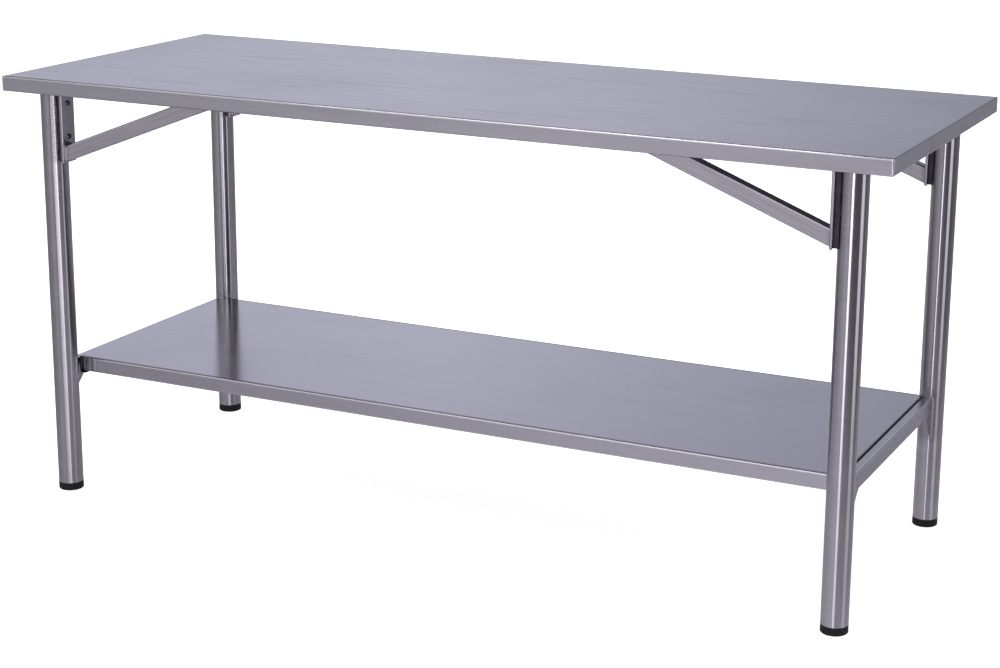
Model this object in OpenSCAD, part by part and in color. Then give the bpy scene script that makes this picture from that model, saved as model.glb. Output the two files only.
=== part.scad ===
// Stainless steel work table: folded worktop on four round legs, with a fixed undershelf,
// corner braces and levelling feet. Origin on the floor under the middle of the worktop,
// X from left to right, Y from front to back, Z up, in millimetres.

/* [Worktop] */
// Length of the worktop, left to right
top_length = 1800; // [1200:10:2400]
// Depth of the worktop, front to back
top_depth = 700; // [560:10:900]
// Height of the working surface above the floor
top_height = 857; // [750:1:950]
// Thickness of the worktop sheet
top_sheet = 1.2; // [0.8:0.1:2]
// Height of the edge folded down all round
edge_drop = 30; // [24:1:40]
// Width of the lip folded inwards under the edge
edge_lip = 12; // [8:1:20]
// Outside radius of the folds in the worktop and shelf sheets
fold_radius = 3; // [2.2:0.1:5]

/* [Stiffeners] */
// Depth of a hat channel below the sheet that it carries
hat_depth = 20; // [14:1:24]
// Width of the flat face of a hat channel
hat_width = 45; // [40:1:60]
// Width of each flange of a hat channel
hat_flange = 15; // [10:1:20]
// Thickness of the hat channels
hat_sheet = 1.5; // [1:0.1:2.5]
// Space left at each end of a hat channel
hat_end_gap = 3; // [1:0.5:8]
// Distance between neighbouring cross stiffeners
cross_pitch = 450; // [200:10:500]

/* [Legs] */
// Outside diameter of a leg tube
leg_diameter = 50; // [42:1:60]
// Wall of a leg tube
leg_wall = 1.5; // [1:0.1:2.5]
// From the end of the worktop to the middle of a leg
leg_inset_x = 80; // [65:1:150]
// From the front of the worktop to the middle of a leg
leg_inset_y = 55; // [50:1:100]
// Thickness of the plate on top of a leg
leg_plate_thickness = 3; // [2:0.5:6]

/* [Brackets and braces] */
// From a leg tube to the outer face of its brace plate
bracket_reach = 10; // [9:0.5:16]
// Width of a brace plate
bracket_width = 40; // [34:1:50]
// Length of a brace plate
bracket_length = 138; // [110:1:180]
// Space between a bracket and the leg plate above it
bracket_top_gap = 7.8; // [5:0.1:20]
// Thickness of a brace plate
brace_plate_sheet = 1.5; // [1:0.1:2.5]
// Depth of the lips that stiffen a brace plate
brace_plate_lip = 5; // [3:0.5:8]
// Thickness of the channel welded to a leg
mount_sheet = 2; // [1.5:0.1:2.5]
// Distance between the two screws of a bracket
bracket_screw_pitch = 66; // [40:1:80]
// From the top of a bracket to its upper screw
bracket_screw_margin = 21; // [12:1:30]
// Width of a brace tube, front to back
brace_width = 25; // [20:1:30]
// Height of a brace tube's section
brace_height = 30; // [20:1:40]
// Wall of a brace tube
brace_wall = 1.5; // [1:0.1:2.5]
// Angle of a brace above level, in degrees
brace_angle = 21.2; // [18:0.1:40]
// From the bottom of a brace plate to the brace
brace_low_margin = 1.8; // [0.5:0.1:20]
// Thickness of the foot plate on a brace's upper end
brace_foot_thickness = 3; // [2:0.5:5]

/* [Shelf and end rails] */
// Height of the shelf surface above the floor
shelf_height = 275; // [180:1:450]
// Thickness of the shelf sheet
shelf_sheet = 1.2; // [0.8:0.1:2]
// Height of the shelf's folded edge at the front and rear
shelf_edge = 30; // [26:1:40]
// Height of the shelf's folded edge at its two ends
shelf_end_edge = 35; // [26:1:45]
// Width of the lip folded inwards under the shelf's edge
shelf_lip = 14; // [13:1:20]
// Space between the shelf and a leg tube, front to back
shelf_leg_gap = 5; // [1:0.5:20]
// Space between the shelf and an end rail's flange
shelf_end_gap = 1.5; // [1:0.5:5]
// From the end of the shelf to where its front and rear edges stop
shelf_notch = 13; // [4:1:30]
// How far the shelf's surface stands above an end rail's flange
rail_step = 3.5; // [0:0.5:6]
// Thickness of an end rail
rail_sheet = 1.5; // [1:0.1:2.5]
// Width of an end rail's top flange
rail_flange = 17; // [14:1:24]
// Width of the ledge that carries the end of the shelf
rail_ledge = 45; // [40:1:60]
// Height of the gusset at each end of a rail
gusset_size = 55; // [20:1:100]

/* [Levelling feet] */
// From the floor to the cut end of a leg tube, feet screwed in
foot_height = 16; // [13:0.5:20]
// Thickness of the flange of a leg insert
insert_flange = 3; // [2:0.5:4]
// Length of a leg insert inside its tube
insert_length = 28; // [20:1:45]
// Diameter of the threaded stud
stud_diameter = 10; // [8:1:12]
// Travel of a foot, screwed in to screwed out
foot_travel = 25; // [10:1:30]
// Thread left in the insert when a foot is screwed out
stud_grip = 12; // [8:1:16]

/* [Fasteners] */
// Nominal diameter of the bolts and bracket screws
bolt_diameter = 6; // [5:1:6]
// Nominal diameter of the shelf screws
shelf_screw_diameter = 5; // [4:1:5]

/* [Fits] */
// Radial clearance of a screw in its plain hole
hole_clearance = 0.3; // [0.2:0.05:0.5]
// Radial clearance of a screw in its nut, and of a stud in its bore
thread_clearance = 0.05; // [0.02:0.01:0.1]
// Space left for the weld where two pieces are joined
weld_gap = 0.05; // [0.03:0.01:0.2]
// Space between a leg insert and its foot pad when screwed in
pad_gap = 0.3; // [0.3:0.05:1]

/* [Hidden] */
$fn = 72;

left = -1;
right = 1;
front = -1;
rear = 1;
sides = [left, right];
ends = [front, rear];

leg_radius = leg_diameter / 2;
leg_x = top_length / 2 - leg_inset_x;
leg_y = top_depth / 2 - leg_inset_y;
// Heights of the faces stacked under the worktop
hat_top = top_height - top_sheet;
hat_face = hat_top - hat_depth;
leg_top = hat_face - leg_plate_thickness;
brace_top = hat_face - brace_foot_thickness;

// Hex heads and nuts, by the usual proportions for their thread
bolt_radius = bolt_diameter / 2;
bolt_hex = bolt_diameter * 1.66;
bolt_head = bolt_diameter * 0.66;
nut_height = bolt_diameter * 0.83;
button_radius = bolt_diameter * 0.875;
button_height = bolt_diameter * 0.55;
socket_hex = bolt_diameter * 0.66;
shelf_screw_radius = shelf_screw_diameter / 2;
shelf_nut_hex = shelf_screw_diameter * 1.6;
shelf_nut_height = shelf_screw_diameter * 0.8;
pan_head_radius = shelf_screw_diameter * 0.95;
pan_head_height = shelf_screw_diameter * 0.6;
// Thread that shows past a nut
thread_end = 1.5;
// Sheet left between a bolt hole and the edge of its plate
plate_margin = 11;
// From a leg bolt to the edge of the flat face that it goes through
bolt_edge = 10.5;
// Space between a hex head and the tube or brace beside it
head_gap = 4.2;
// Space between a hex head and what slopes away below it
head_room = 1;

leg_bolt_x = leg_radius + bolt_hex * 0.58 + head_gap;
leg_bolt_y = hat_width / 2 - bolt_edge;

bracket_face = leg_radius + bracket_reach;
bracket_top = leg_top - bracket_top_gap;
bracket_bottom = bracket_top - bracket_length;
bracket_screw_z = [
    bracket_top - bracket_screw_margin,
    bracket_top - bracket_screw_margin - bracket_screw_pitch
];
mount_face = bracket_face - brace_plate_sheet;
mount_side_gap = 2.5;
mount_width = bracket_width - 2 * brace_plate_sheet - 2 * mount_side_gap;
mount_inset = 2;
// The nut of a bracket screw lies between its channel and the tube
nut_end_gap = 0.5;
screw_end_gap = 1;
mount_nut_height = min(nut_height, mount_face - mount_sheet - leg_radius - nut_end_gap);

// Where the brace crosses its plate and reaches its foot plate
brace_rise = brace_height / 2 / cos(brace_angle);
brace_low = bracket_bottom + brace_low_margin + brace_rise;
brace_top_outer = bracket_face + (brace_top - brace_low - brace_rise) / tan(brace_angle);
brace_top_inner = bracket_face + (brace_top - brace_low + brace_rise) / tan(brace_angle);
brace_corner = 3;
// Inside radius of the brace plates' folds
bend_inside = 0.5;
// Width of a brace's foot plate beside the tube
brace_foot_side = 2.5;
// The outer bolt's head clears the slope of the brace below it
brace_slope_gap = (bolt_head + head_room) / tan(brace_angle);
brace_bolt_x = [
    brace_top_outer - bolt_hex * 0.58 - brace_slope_gap,
    brace_top_inner + bolt_hex * 0.58 + head_gap
];

rail_outer = leg_x + rail_flange / 2;
rail_bottom = shelf_height - shelf_end_edge;
rail_top = shelf_height - rail_step;
shelf_length = 2 * (leg_x - rail_flange / 2 - shelf_end_gap);
shelf_depth = 2 * (leg_y - leg_radius - shelf_leg_gap);
// Length of the parts of the shelf that carry its end folds
shelf_end = max(shelf_lip, shelf_notch + 1);
// Between the ledge and the gusset beside it, and the slot where the fold ends
ledge_relief = 5;
fold_slot = 2;
ledge_half = leg_y - leg_radius - gusset_size - ledge_relief;
shelf_screw_x = shelf_length / 2 - shelf_sheet - (shelf_lip - shelf_sheet) / 2;
shelf_screw_y = [-0.88 * ledge_half, -0.36 * ledge_half, 0.36 * ledge_half, 0.88 * ledge_half];

insert_bottom = foot_height - insert_flange;
insert_top = foot_height + insert_length;
insert_chamfer = 2;
stud_radius = stud_diameter / 2;
stud_top = insert_bottom + foot_travel + stud_grip;
pad_height = insert_bottom - pad_gap;
pad_chamfer = 1.5;
pad_key_radius = 0.9 * stud_radius;
collar_radius = 2 * stud_radius;
collar_bottom = 0.28 * pad_height;
collar_height = 0.3 * pad_height;
collar_play = 0.1;
key_hex = stud_diameter / 2;
key_depth = 0.6 * stud_diameter;

steel = "#b8b9c4";
dark_steel = "#8f909c";
zinc = "#c9c9cf";
black = "#16161a";

// Rounded rectangle centred on the origin
module rounded_rect(width, height, radius) {
    square([width - 2 * radius, height], center = true);
    square([width, height - 2 * radius], center = true);
    for (u = [-1, 1]) {
        for (v = [-1, 1]) {
            translate([u * (width / 2 - radius), v * (height / 2 - radius)])
                circle(r = radius);
        }
    }
}

// Profile drawn in Y and Z, carried along X
module along_x(length) {
    rotate([90, 0, 90])
        linear_extrude(length, center = true)
            children();
}

// Profile drawn in X and Z, carried along Y
module along_y(length) {
    rotate([90, 0, 0])
        linear_extrude(length, center = true)
            children();
}

// Cylinder lying along X from the origin
module bar_x(radius, length) {
    rotate([0, 90, 0])
        cylinder(r = radius, h = length);
}

// Hex prism standing on the origin, given across its flats
module hex(flats, height) {
    cylinder(d = flats / cos(30), h = height, $fn = 6);
}

// What is drawn at a leg, with +X towards the middle of the table
module at_leg(side, end) {
    translate([side * leg_x, end * leg_y, 0])
        rotate([0, 0, side == right ? 180 : 0])
            children();
}

// Block with every fold rounded, its top face at the origin
module folded_block(length, depth, height, radius) {
    intersection() {
        along_x(length)
            translate([0, -height / 2])
                rounded_rect(depth, height, radius);
        along_y(depth)
            translate([0, -height / 2])
                rounded_rect(length, height, radius);
        translate([0, 0, -height])
            linear_extrude(height)
                rounded_rect(length, depth, radius);
    }
}

// Sheet folded down and then inwards on all four sides
module folded_pan(length, depth, drop, sheet, lip) {
    difference() {
        folded_block(length, depth, drop, fold_radius);
        translate([0, 0, -sheet])
            folded_block(
                length - 2 * sheet, depth - 2 * sheet, drop - 2 * sheet, fold_radius - sheet
            );
        translate([0, 0, -drop - 1])
            linear_extrude(drop / 2)
                square([length - 2 * lip, depth - 2 * lip], center = true);
    }
}

// Hat channel section, its flanges on the line v = 0 and its flat face below
module hat_section() {
    translate([-hat_width / 2, -hat_depth])
        square([hat_width, hat_sheet]);
    for (u = [0, 1]) {
        mirror([u, 0]) {
            translate([hat_width / 2 - hat_sheet, -hat_depth])
                square([hat_sheet, hat_depth]);
            translate([hat_width / 2 - hat_sheet, -hat_sheet])
                square([hat_flange + hat_sheet, hat_sheet]);
        }
    }
}

module worktop_skin() {
    color(steel)
        translate([0, 0, top_height])
            folded_pan(top_length, top_depth, edge_drop, top_sheet, edge_lip);
}

// Long channel over a pair of legs, drilled for the leg and brace bolts
module long_stiffener(end) {
    color(dark_steel)
        difference() {
            translate([0, end * leg_y, hat_top])
                along_x(top_length - 2 * top_sheet - 2 * hat_end_gap)
                    hat_section();
            for (side = sides) {
                at_leg(side, end)
                    stiffener_holes();
            }
        }
}

module stiffener_holes() {
    for (spot = stiffener_bolts()) {
        translate([spot[0], spot[1], hat_face - 1])
            cylinder(r = bolt_radius + hole_clearance, h = hat_sheet + 2);
    }
}

// Places of the bolts in a stiffener, measured from its leg
function leg_bolt_spots() = [
    for (u = [-1, 1]) for (v = [-1, 1]) [u * leg_bolt_x, v * leg_bolt_y]
];
function brace_bolt_spots() = [for (x = brace_bolt_x) [x, 0]];
function stiffener_bolts() = concat(leg_bolt_spots(), brace_bolt_spots());

// Short channel between the two long ones
module cross_stiffener(x) {
    color(dark_steel)
        translate([x, 0, hat_top])
            along_y(2 * (leg_y - hat_width / 2 - hat_flange - 1))
                hat_section();
}

module leg(side, end) {
    color(steel)
        at_leg(side, end)
            translate([0, 0, foot_height])
                difference() {
                    cylinder(r = leg_radius, h = leg_top - foot_height);
                    translate([0, 0, -1])
                        cylinder(r = leg_radius - leg_wall, h = leg_top - foot_height + 2);
                }
}

// Plate welded on top of a leg and bolted up to the long stiffener
module leg_plate(side, end) {
    color(steel)
        at_leg(side, end)
            difference() {
                translate([-leg_bolt_x - plate_margin, -hat_width / 2, leg_top])
                    cube([2 * (leg_bolt_x + plate_margin), hat_width, leg_plate_thickness]);
                for (spot = leg_bolt_spots()) {
                    translate([spot[0], spot[1], leg_top - 1])
                        cylinder(r = bolt_radius + hole_clearance, h = leg_plate_thickness + 2);
                }
            }
}

// Channel welded to a leg, its flanges coped round the tube
module leg_mount(side, end) {
    height = bracket_length - 2 * mount_inset;
    color(dark_steel)
        at_leg(side, end)
            difference() {
                translate([0, -mount_width / 2, bracket_bottom + mount_inset])
                    cube([mount_face, mount_width, height]);
                translate([-1, mount_sheet - mount_width / 2, bracket_bottom])
                    cube([mount_face - mount_sheet + 1, mount_width - 2 * mount_sheet, 2 * height]);
                translate([0, 0, bracket_bottom])
                    cylinder(r = leg_radius + weld_gap, h = 2 * height);
                bracket_holes();
            }
}

// Shallow channel screwed to the mount, with the brace welded to its face
module brace_plate(side, end) {
    color(steel)
        at_leg(side, end)
            difference() {
                translate([0, 0, bracket_bottom])
                    linear_extrude(bracket_length)
                        brace_plate_section();
                bracket_holes();
            }
}

module brace_plate_section() {
    depth = brace_plate_lip + brace_plate_sheet;
    bend = brace_plate_sheet + bend_inside;
    intersection() {
        difference() {
            translate([bracket_face - depth, 0])
                rounded_rect(2 * depth, bracket_width, bend);
            translate([bracket_face - depth, 0])
                rounded_rect(
                    2 * (depth - brace_plate_sheet), bracket_width - 2 * brace_plate_sheet, bend_inside
                );
        }
        translate([bracket_face - depth, -bracket_width])
            square([2 * depth, 2 * bracket_width]);
    }
}

module bracket_holes() {
    for (z = bracket_screw_z) {
        translate([leg_radius, 0, z])
            bar_x(bolt_radius + hole_clearance, bracket_reach + 1);
    }
}

// Box tube from the brace plate up to its foot plate, cut to both
module brace(side, end) {
    run = brace_top_inner - bracket_face;
    span = 2 * run / cos(brace_angle);
    color(steel)
        at_leg(side, end)
            intersection() {
                translate([bracket_face, 0, brace_low])
                    rotate([0, -brace_angle, 0])
                        along_x(span)
                            brace_section();
                translate([bracket_face + weld_gap, -brace_width, bracket_bottom])
                    cube([2 * run, 2 * brace_width, brace_top - weld_gap - bracket_bottom]);
            }
}

module brace_section() {
    difference() {
        rounded_rect(brace_width, brace_height, brace_corner);
        rounded_rect(
            brace_width - 2 * brace_wall, brace_height - 2 * brace_wall, brace_corner / 2
        );
    }
}

// Plate welded on a brace's upper end and bolted up to the long stiffener
module brace_foot(side, end) {
    start = brace_bolt_x[0] - plate_margin;
    length = brace_bolt_x[1] - brace_bolt_x[0] + 2 * plate_margin;
    width = brace_width + 2 * brace_foot_side;
    color(steel)
        at_leg(side, end)
            difference() {
                translate([start, -width / 2, brace_top])
                    cube([length, width, brace_foot_thickness]);
                for (spot = brace_bolt_spots()) {
                    translate([spot[0], spot[1], brace_top - 1])
                        cylinder(r = bolt_radius + hole_clearance, h = brace_foot_thickness + 2);
                }
            }
}

// Folded rail between two legs: outer web, top flange, gussets and the shelf ledge
module end_rail(side) {
    color(steel)
        rotate([0, 0, side == right ? 0 : 180])
            difference() {
                union() {
                    along_y(2 * leg_y)
                        flange_section();
                    along_y(2 * ledge_half)
                        ledge_section();
                    translate([rail_outer - rail_sheet / 2, 0, 0])
                        along_x(rail_sheet)
                            gusset_outlines();
                }
                for (end = ends) {
                    translate([leg_x, end * leg_y, 0])
                        cylinder(r = leg_radius + weld_gap, h = top_height);
                }
                for (y = shelf_screw_y) {
                    translate([shelf_screw_x, y, rail_bottom - rail_sheet - 1])
                        cylinder(r = shelf_screw_radius + hole_clearance, h = rail_sheet + 2);
                }
            }
}

// Ring of sheet that the rail's folds are cut from, drawn in X and Z
module rail_ring() {
    height = rail_top - rail_bottom + rail_sheet;
    translate([rail_outer - rail_ledge, rail_top - height / 2])
        difference() {
            rounded_rect(2 * rail_ledge, height, fold_radius);
            rounded_rect(
                2 * (rail_ledge - rail_sheet), height - 2 * rail_sheet, fold_radius - rail_sheet
            );
        }
}

// Top flange and the web below it, down to where the ledge folds
module flange_section() {
    intersection() {
        rail_ring();
        translate([rail_outer - rail_flange, rail_bottom + fold_radius])
            square([rail_flange, shelf_end_edge]);
    }
}

// Ledge and the lower half of the web above it
module ledge_section() {
    intersection() {
        rail_ring();
        translate([rail_outer - rail_ledge, rail_bottom - rail_sheet])
            square([rail_ledge, shelf_end_edge / 2]);
    }
}

// Ends of the web, deepened by a triangle towards each leg, drawn in Y and Z
module gusset_outlines() {
    inner = leg_y - leg_radius;
    web_top = rail_top - fold_radius;
    for (end = ends) {
        mirror([end == rear ? 0 : 1, 0])
            polygon([
                [leg_y, web_top], [ledge_half + fold_slot, web_top],
                [ledge_half + fold_slot, rail_bottom], [inner - gusset_size, rail_bottom],
                [inner, rail_bottom - gusset_size], [leg_y, rail_bottom - gusset_size]
            ]);
    }
}

module shelf_skin() {
    color(steel)
        difference() {
            translate([0, 0, shelf_height])
                shelf_folds();
            for (side = sides) {
                for (y = shelf_screw_y) {
                    translate([side * shelf_screw_x, y, rail_bottom - 1])
                        cylinder(r = shelf_screw_radius + hole_clearance, h = shelf_sheet + 2);
                }
            }
        }
}

// Front and rear edges that stop short of the corners, and the deeper edges at the two ends
module shelf_folds() {
    intersection() {
        folded_pan(2 * shelf_length, shelf_depth, shelf_edge, shelf_sheet, shelf_lip);
        cube([shelf_length - 2 * shelf_notch, 2 * shelf_depth, 4 * shelf_edge], center = true);
    }
    intersection() {
        folded_pan(shelf_length, shelf_depth, shelf_end_edge, shelf_sheet, shelf_lip);
        union() {
            for (side = sides) {
                translate([side * shelf_length / 2, 0, 0])
                    cube([2 * shelf_end, shelf_depth - 2 * fold_radius, 4 * shelf_end_edge], center = true);
            }
        }
    }
}

module shelf_stiffener() {
    color(dark_steel)
        translate([0, 0, shelf_height - shelf_sheet])
            along_x(shelf_length - 2 * shelf_sheet - 2 * hat_end_gap)
                hat_section();
}

// Flanged plug with the stud's thread, pressed into the end of a leg
module leg_insert(side, end) {
    color(black)
        at_leg(side, end)
            rotate_extrude()
                polygon([
                    [stud_radius + thread_clearance, insert_bottom],
                    [leg_radius, insert_bottom],
                    [leg_radius, foot_height],
                    [leg_radius - leg_wall - weld_gap, foot_height],
                    [leg_radius - leg_wall - weld_gap, insert_top - insert_chamfer],
                    [leg_radius - leg_wall - insert_chamfer, insert_top],
                    [stud_radius + thread_clearance, insert_top]
                ]);
}

// Pad under a leg, with a groove that holds the stud's collar and a key hole below it
module foot_pad(side, end) {
    groove_low = collar_bottom - collar_play;
    groove_high = collar_bottom + collar_height + collar_play;
    groove_radius = collar_radius + collar_play;
    color(black)
        at_leg(side, end)
            rotate_extrude()
                polygon([
                    [pad_key_radius, 0],
                    [leg_radius - pad_chamfer, 0],
                    [leg_radius, pad_chamfer],
                    [leg_radius, pad_height],
                    [stud_radius + thread_clearance, pad_height],
                    [stud_radius + thread_clearance, groove_high],
                    [groove_radius, groove_high],
                    [groove_radius, groove_low],
                    [pad_key_radius, groove_low]
                ]);
}

// Threaded stud with a collar in the pad and a hex socket reached from below
module foot_stud(side, end) {
    color(zinc)
        at_leg(side, end)
            difference() {
                union() {
                    translate([0, 0, collar_bottom])
                        cylinder(r = collar_radius, h = collar_height);
                    translate([0, 0, collar_bottom])
                        cylinder(r = stud_radius, h = stud_top - collar_bottom);
                }
                translate([0, 0, collar_bottom - 1])
                    hex(key_hex, key_depth + 1);
            }
}

// Button head screws through the brace plates into the nuts of the mounts
module bracket_screws() {
    color(zinc)
        for (side = sides) {
            for (end = ends) {
                for (z = bracket_screw_z) {
                    at_leg(side, end)
                        translate([bracket_face, 0, z])
                            button_screw(bracket_reach - screw_end_gap);
                }
            }
        }
}

// Screw along X, its head on the outer side of the origin
module button_screw(length) {
    dome = button_radius * 1.05;
    difference() {
        union() {
            translate([-length, 0, 0])
                bar_x(bolt_radius, length + button_height / 4);
            intersection() {
                bar_x(button_radius, button_height);
                translate([button_height - dome, 0, 0])
                    rotate([0, 90, 0])
                        sphere(r = dome * 1.18);
            }
        }
        translate([button_height * 0.35, 0, 0])
            rotate([0, 90, 0])
                hex(socket_hex, button_height);
    }
}

module mount_nuts() {
    color(zinc)
        for (side = sides) {
            for (end = ends) {
                for (z = bracket_screw_z) {
                    at_leg(side, end)
                        translate([mount_face - mount_sheet - mount_nut_height, 0, z])
                            rotate([0, 90, 0])
                                nut(bolt_hex, mount_nut_height, bolt_radius);
                }
            }
        }
}

module nut(flats, height, radius) {
    difference() {
        hex(flats, height);
        translate([0, 0, -1])
            cylinder(r = radius + thread_clearance, h = height + 2);
    }
}

// Hex bolt pointing up, the seat of its head at the origin
module hex_bolt(grip) {
    translate([0, 0, -bolt_head])
        hex(bolt_hex, bolt_head);
    translate([0, 0, -bolt_head / 2])
        cylinder(r = bolt_radius, h = bolt_head / 2 + grip + nut_height + thread_end);
}

module leg_bolts() {
    color(zinc)
        for (side = sides) {
            for (end = ends) {
                for (spot = leg_bolt_spots()) {
                    at_leg(side, end)
                        translate([spot[0], spot[1], leg_top])
                            hex_bolt(leg_plate_thickness + hat_sheet);
                }
            }
        }
}

module brace_bolts() {
    color(zinc)
        for (side = sides) {
            for (end = ends) {
                for (spot = brace_bolt_spots()) {
                    at_leg(side, end)
                        translate([spot[0], spot[1], brace_top])
                            hex_bolt(brace_foot_thickness + hat_sheet);
                }
            }
        }
}

// Nuts welded inside the long stiffeners, one over each bolt
module stiffener_nuts() {
    color(zinc)
        for (side = sides) {
            for (end = ends) {
                for (spot = stiffener_bolts()) {
                    at_leg(side, end)
                        translate([spot[0], spot[1], hat_face + hat_sheet])
                            nut(bolt_hex, nut_height, bolt_radius);
                }
            }
        }
}

// Pan head screws up through the ledges into the shelf's lips
module shelf_screws() {
    color(zinc)
        for (side = sides) {
            for (y = shelf_screw_y) {
                translate([side * shelf_screw_x, y, rail_bottom - rail_sheet])
                    pan_screw(rail_sheet + shelf_sheet + shelf_nut_height + thread_end);
            }
        }
}

// Screw pointing up, the seat of its head at the origin
module pan_screw(length) {
    translate([0, 0, -pan_head_height / 4])
        cylinder(r = shelf_screw_radius, h = length + pan_head_height / 4);
    translate([0, 0, -pan_head_height])
        difference() {
            cylinder(r = pan_head_radius, h = pan_head_height);
            translate([0, 0, -1])
                hex(shelf_screw_diameter * 0.6, 1 + pan_head_height * 0.6);
        }
}

module shelf_nuts() {
    color(zinc)
        for (side = sides) {
            for (y = shelf_screw_y) {
                translate([side * shelf_screw_x, y, rail_bottom + shelf_sheet])
                    nut(shelf_nut_hex, shelf_nut_height, shelf_screw_radius);
            }
        }
}

worktop_skin();
long_stiffener(front);  // front_stiffener
long_stiffener(rear);  // rear_stiffener
cross_stiffener(-cross_pitch);  // cross_stiffener_left
cross_stiffener(0);  // cross_stiffener_middle
cross_stiffener(cross_pitch);  // cross_stiffener_right
leg(left, front);  // leg_front_left
leg(right, front);  // leg_front_right
leg(left, rear);  // leg_rear_left
leg(right, rear);  // leg_rear_right
leg_plate(left, front);  // leg_plate_front_left
leg_plate(right, front);  // leg_plate_front_right
leg_plate(left, rear);  // leg_plate_rear_left
leg_plate(right, rear);  // leg_plate_rear_right
leg_mount(left, front);  // leg_mount_front_left
leg_mount(right, front);  // leg_mount_front_right
leg_mount(left, rear);  // leg_mount_rear_left
leg_mount(right, rear);  // leg_mount_rear_right
brace_plate(left, front);  // brace_plate_front_left
brace_plate(right, front);  // brace_plate_front_right
brace_plate(left, rear);  // brace_plate_rear_left
brace_plate(right, rear);  // brace_plate_rear_right
brace(left, front);  // brace_front_left
brace(right, front);  // brace_front_right
brace(left, rear);  // brace_rear_left
brace(right, rear);  // brace_rear_right
brace_foot(left, front);  // brace_foot_front_left
brace_foot(right, front);  // brace_foot_front_right
brace_foot(left, rear);  // brace_foot_rear_left
brace_foot(right, rear);  // brace_foot_rear_right
end_rail(left);  // end_rail_left
end_rail(right);  // end_rail_right
shelf_skin();
shelf_stiffener();
leg_insert(left, front);  // leg_insert_front_left
leg_insert(right, front);  // leg_insert_front_right
leg_insert(left, rear);  // leg_insert_rear_left
leg_insert(right, rear);  // leg_insert_rear_right
foot_pad(left, front);  // foot_pad_front_left
foot_pad(right, front);  // foot_pad_front_right
foot_pad(left, rear);  // foot_pad_rear_left
foot_pad(right, rear);  // foot_pad_rear_right
foot_stud(left, front);  // foot_stud_front_left
foot_stud(right, front);  // foot_stud_front_right
foot_stud(left, rear);  // foot_stud_rear_left
foot_stud(right, rear);  // foot_stud_rear_right
bracket_screws();
mount_nuts();
leg_bolts();
brace_bolts();
stiffener_nuts();
shelf_screws();
shelf_nuts();
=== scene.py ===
"""Looks of a stainless steel work table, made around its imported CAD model.

Everything is in metres in the frame of the CAD: the floor is z = 0, X runs along the worktop and
Y from its front edge to its back edge.
"""

import math

import bpy
import numpy as np
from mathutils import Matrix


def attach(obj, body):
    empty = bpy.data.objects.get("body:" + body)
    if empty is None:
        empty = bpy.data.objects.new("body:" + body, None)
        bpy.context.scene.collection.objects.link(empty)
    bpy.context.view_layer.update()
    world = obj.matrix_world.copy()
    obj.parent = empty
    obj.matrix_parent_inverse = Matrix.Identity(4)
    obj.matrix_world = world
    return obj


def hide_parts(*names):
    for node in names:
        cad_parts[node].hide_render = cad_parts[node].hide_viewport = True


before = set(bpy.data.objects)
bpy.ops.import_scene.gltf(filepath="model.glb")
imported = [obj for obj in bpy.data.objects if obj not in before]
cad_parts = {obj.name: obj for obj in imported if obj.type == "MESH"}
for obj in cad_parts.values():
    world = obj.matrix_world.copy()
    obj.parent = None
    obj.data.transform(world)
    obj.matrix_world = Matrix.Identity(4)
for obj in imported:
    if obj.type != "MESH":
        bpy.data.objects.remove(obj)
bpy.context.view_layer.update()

MM = 0.001
CORNERS = {"front_left": (-1, -1), "front_right": (1, -1), "rear_left": (-1, 1), "rear_right": (1, 1)}
SIDES = {"left": -1, "right": 1}


# Sizes of the table, worked out from the boxes of its CAD nodes

def box_of(name):
    """The low and the high corner of a CAD node, to the micrometre."""
    corners = np.round([tuple(corner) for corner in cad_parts[name].bound_box], 6)
    return corners.min(axis=0), corners.max(axis=0)


# Half length, half depth and height of the two sheets
TOP = box_of("worktop_skin")[1]
SHELF = box_of("shelf_skin")[1]
FOLDED_SHEET = 0.0012
FOLD_RADIUS = 0.003

LEG_MIN, LEG_MAX = box_of("leg_front_right")
LEG_X = (LEG_MIN[0] + LEG_MAX[0]) / 2
LEG_Y = -(LEG_MIN[1] + LEG_MAX[1]) / 2
LEG_RADIUS = (LEG_MAX[0] - LEG_MIN[0]) / 2
LEG_TOP = LEG_MAX[2]

RAIL_MIN, RAIL_MAX = box_of("end_rail_right")
RAIL_OUTER = RAIL_MAX[0]
RAIL_TOP = RAIL_MAX[2]
RAIL_SHEET = 0.0015
GUSSET_BOTTOM = RAIL_MIN[2]
# A gusset reaches from the leg to this distance from the table's middle
GUSSET_INNER = 0.215

PLATE_FACE, _, PLATE_BOTTOM = box_of("brace_plate_front_right")[0]
MOUNT_MIN, MOUNT_MAX = box_of("leg_mount_front_right")
MOUNT_HALF = (MOUNT_MAX[1] - MOUNT_MIN[1]) / 2
MOUNT_SPAN = (MOUNT_MIN[2], MOUNT_MAX[2])

# A brace slopes up from its plate to a level cut under the worktop. Its lower end stands a margin above
# the plate's bottom, and BRACE_LOW is the height of that end's middle. BRACE_CUT is the cut's length.
BRACE_MIN, BRACE_MAX = box_of("brace_front_right")
BRACE_HALF = (BRACE_MAX[1] - BRACE_MIN[1]) / 2
BRACE_HEIGHT = 0.030
BRACE_ANGLE = math.radians(21.2)
BRACE_MARGIN = 0.0018
BRACE_LOW = round(PLATE_BOTTOM + BRACE_MARGIN + BRACE_HEIGHT / 2 / math.cos(BRACE_ANGLE), 4)
BRACE_CUT = BRACE_HEIGHT / math.sin(BRACE_ANGLE)
BRACE_ENDS = (round(BRACE_MIN[0], 3), round(BRACE_MIN[0] + BRACE_CUT, 3))

SCREW_MIN, SCREW_MAX = box_of("bracket_screws")
SCREW_HEAD_RADIUS = 0.00525
SCREW_MIDDLE = (SCREW_MIN[2] + SCREW_MAX[2]) / 2
SCREW_HALF_PITCH = (SCREW_MAX[2] - SCREW_MIN[2]) / 2 - SCREW_HEAD_RADIUS

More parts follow.
